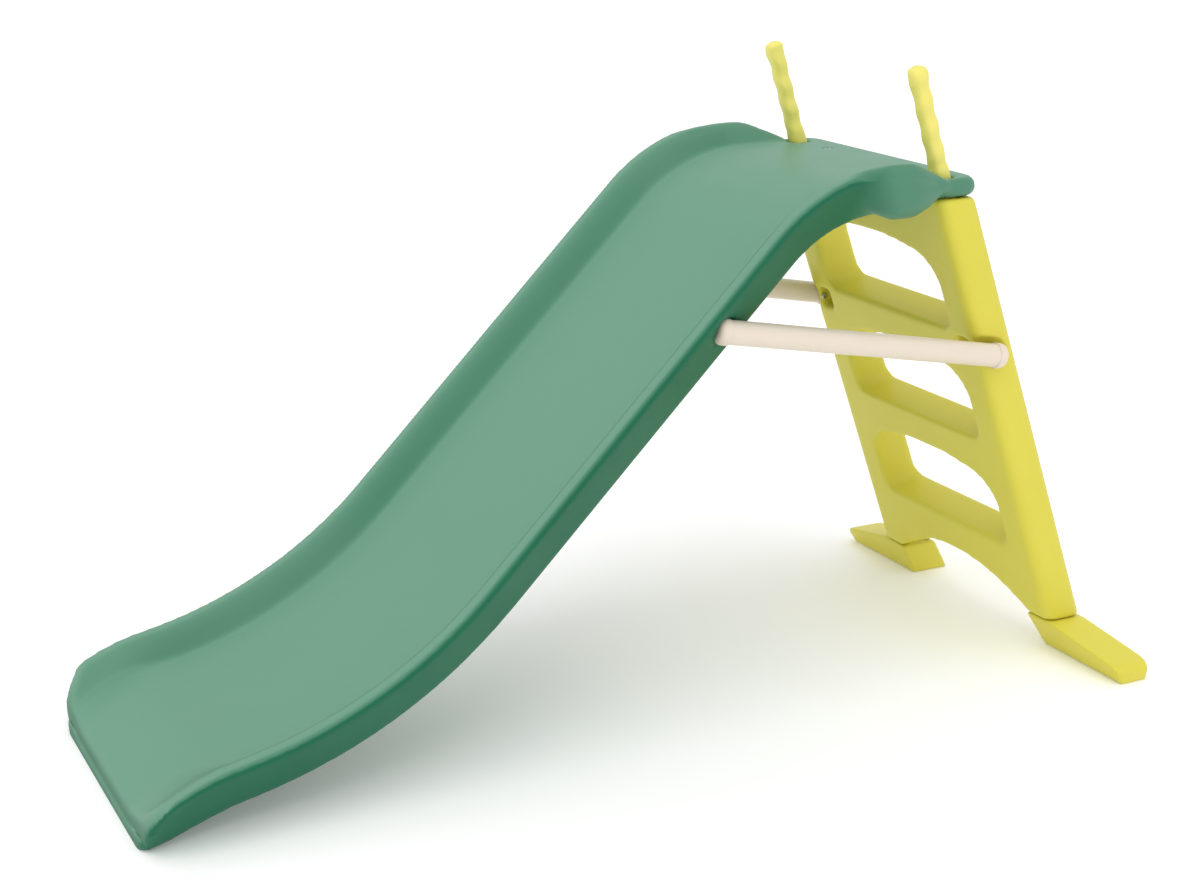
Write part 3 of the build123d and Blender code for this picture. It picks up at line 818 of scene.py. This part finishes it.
@dataclass
class GripHandle:
    """A post with a wavy grip: a rounded bar whose middle winds round its axis."""

    side: Side
    material: bpy.types.Material
    width: float = 26 * MM
    depth: float = 24 * MM
    waves: int = 4
    sway: float = 1.2 * MM
    sway_ahead: float = 0.5
    waist: float = 0.1
    # the grip's ends are measured up from the deck, and the knob's and crown's from the top
    grip_from: float = 10 * MM
    grip_full: float = 26 * MM
    plain_top: float = 14 * MM
    knob_from: float = 34 * MM
    knob_full: float = 16 * MM
    crown: float = 10 * MM
    crown_tip: float = 0.35
    edge_bevel: float = 0.2 * MM
    lean: float = math.radians(18.0)
    deck_level: float = 740 * MM
    rings: int = 96
    ring_points: int = 32
    squareness: float = 3.2

    def build(self) -> bpy.types.Object:
        """Build and dress the handle.

        Returns:
            The finished object.
        """
        node = f"{self.side.word}_handle"
        low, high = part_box(node)
        axis = Vector((-math.sin(self.lean), 0.0, math.cos(self.lean)))
        length = (high.z - low.z - self.depth * math.sin(self.lean)) / axis.z
        bpy.ops.object.select_all(action="DESELECT")
        bpy.ops.mesh.primitive_cylinder_add(vertices=self.ring_points, radius=0.5, depth=1.0)
        piece = bpy.context.active_object
        piece.name = f"{self.side.word}_grip_handle"
        bpy.ops.object.mode_set(mode="EDIT")
        bpy.ops.mesh.select_mode(type="EDGE")
        bpy.ops.mesh.select_all(action="DESELECT")
        bpy.ops.object.mode_set(mode="OBJECT")
        for edge in piece.data.edges:
            ends = [piece.data.vertices[i].co.z for i in edge.vertices]
            edge.select = abs(ends[0] - ends[1]) > 0.5
        bpy.ops.object.mode_set(mode="EDIT")
        bpy.ops.mesh.subdivide(number_cuts=self.rings)
        bpy.ops.object.mode_set(mode="OBJECT")
        points = read_points(piece)
        write_points(piece, self.wind(points, low, high, axis, length))
        apply_modifier(piece, "BEVEL", width=self.edge_bevel, segments=1)
        dress(piece, self.material, "grip_plastic", node)
        return piece

    def wind(
        self,
        points: np.ndarray,
        low: Vector,
        high: Vector,
        axis: Vector,
        length: float,
    ) -> np.ndarray:
        """Bring a unit cylinder to the handle's place and shape.

        Args:
            points: vertices of an upright cylinder of height and width 1.
            low: lowest corner of the handle's box.
            high: highest corner of the handle's box.
            axis: direction up the handle.
            length: its length along that axis.

        Returns:
            The shaped vertices.
        """
        along = (points[:, 2] + 0.5) * length
        angle = np.arctan2(points[:, 1], points[:, 0])
        square = np.abs(np.stack((np.cos(angle), np.sin(angle)))) ** self.squareness
        reach = square.sum(axis=0) ** (-1 / self.squareness)
        deck = length - (high.z - self.deck_level) / axis.z
        past = np.clip((along - (length - self.crown)) / self.crown, 0.0, 1.0)
        dome = self.crown_tip + (1 - self.crown_tip) * np.sqrt(1 - past ** 2)
        grip = smooth_step(deck + self.grip_from, deck + self.grip_full, along)
        pitch = (length - deck - self.plain_top) / self.waves
        phase = 2 * math.pi * (along - deck) / pitch
        knob = smooth_step(length - self.knob_from, length - self.knob_full, along)
        swell = 1 - grip * (1 - knob) * self.waist
        across = np.cos(angle) * reach * self.width / 2 * dome * swell
        ahead = np.sin(angle) * reach * self.depth / 2 * dome * swell
        across = across + self.sway * grip * np.cos(phase) * self.side.value
        ahead = ahead + self.sway * self.sway_ahead * grip * np.sin(phase)
        start = Vector((
            (low.x + high.x) / 2 - axis.x * length / 2,
            (low.y + high.y) / 2,
            (low.z + high.z) / 2 - axis.z * length / 2,
        ))
        front = np.array((math.cos(self.lean), 0.0, math.sin(self.lean)))
        shaped = np.outer(along, np.array(axis)) + np.outer(ahead, front)
        shaped[:, 1] += across
        return shaped + np.array(start)


@dataclass
class Hardware:
    """Tubes, caps and fasteners, which keep their CAD shapes and get their finishes."""

    finishes: dict[str, bpy.types.Material]

    def build(self) -> None:
        """Give each kept CAD node the finish of its slot."""
        for sub_part in frame["record"]["subparts"]:
            node, slot = sub_part["node"], sub_part["material_slot"]
            if slot not in self.finishes:
                continue
            piece = frame["nodes"][node]
            piece.data.materials.clear()
            piece.data.materials.append(self.finishes[slot])
            log.info("%s: %s", node, slot)


@dataclass
class Studio:
    """Pale floor, one soft sun under a white sky, and the camera."""

    lens_mm: float = 60.03
    sensor_mm: float = 36.0
    camera_place: tuple[float, float, float] = (-1.2215, -2.3904, 1.1911)
    azimuth_deg: float = -26.876
    elevation_deg: float = 17.028
    floor_size: float = 60.0
    sky: float = 0.84
    sun_strength: float = 0.95
    sun_spread_deg: float = 50.0
    sun_tilt_deg: tuple[float, float, float] = (22.0, -20.0, 0.0)

    def floor(self) -> None:
        """Lay the floor at the level the slide stands on."""
        bpy.ops.object.select_all(action="DESELECT")
        bpy.ops.mesh.primitive_plane_add(size=self.floor_size, location=(0, 0, 0))
        floor = bpy.context.active_object
        floor.name = "studio_floor"
        floor.data.materials.append(PaperFloor().build())

    def soft_sun(self) -> None:
        """Hang one broad, soft light high in front of the slide."""
        lamp = bpy.data.lights.new("overhead_softbox", "SUN")
        lamp.energy = self.sun_strength
        lamp.angle = math.radians(self.sun_spread_deg)
        holder = bpy.data.objects.new("overhead_softbox", lamp)
        holder.rotation_euler = [math.radians(tilt) for tilt in self.sun_tilt_deg]
        bpy.context.scene.collection.objects.link(holder)

    def build(self) -> None:
        """Build the floor, the lights and the camera."""
        scene = bpy.context.scene
        self.floor()
        world = bpy.data.worlds.new("white cyclorama")
        world.use_nodes = True
        background = world.node_tree.nodes["Background"]
        background.inputs["Color"].default_value = (1, 1, 1, 1)
        background.inputs["Strength"].default_value = self.sky
        scene.world = world
        self.soft_sun()
        lens = bpy.data.cameras.new("camera")
        lens.lens = self.lens_mm
        lens.sensor_width = self.sensor_mm
        lens.sensor_fit = "HORIZONTAL"
        camera = bpy.data.objects.new("camera", lens)
        camera.location = self.camera_place
        camera.rotation_euler = (
            math.radians(90 - self.elevation_deg),
            0.0,
            math.radians(self.azimuth_deg),
        )
        scene.collection.objects.link(camera)
        scene.camera = camera
        scene.view_settings.view_transform = "Standard"


def main() -> None:
    """Build every piece in order, then the studio around them."""
    logging.basicConfig(level=logging.INFO, format="%(name)s %(message)s")
    # the third colour of each plastic is painted light and sheen, drawn on faces that look up and
    # at the top of the slide
    green = MouldedPlastic(
        "HDPE green, blow-moulded", "#066747", "#056344", "#67987F", ior=1.33
    ).build()
    yellow = MouldedPlastic(
        "HDPE yellow-green, blow-moulded", "#DACF44", "#D3C83E", "#DDD34C"
    ).build()
    grip = MouldedPlastic(
        "HDPE yellow, injection-moulded", "#EDE26E", "#E7DB64", "#EFE47A", grain_mm=1.0
    ).build()
    cap = MouldedPlastic(
        "polypropylene cream, injection-moulded", "#E6D7C7", "#E0D0BE", "#E8DACB"
    ).build()
    coat = PowderCoat("polyester powder coat cream, baked on steel", "#E8DBCB", "#E2D4C3").build()
    zinc = ZincPlate("steel screw, bright zinc plated").build()
    Chute(material=green).build()
    Ladder(material=yellow).build()
    for side in Side:
        node = f"{side.word}_foot"
        Foot(node=node, name=f"{side.word}_foot_moulding", material=yellow).build()
        GripHandle(side=side, material=grip).build()
    Hardware({"tube_enamel": coat, "cap_plastic": cap, "zinc_steel": zinc}).build()
    Studio().build()


if __name__ == "__main__":
    main()
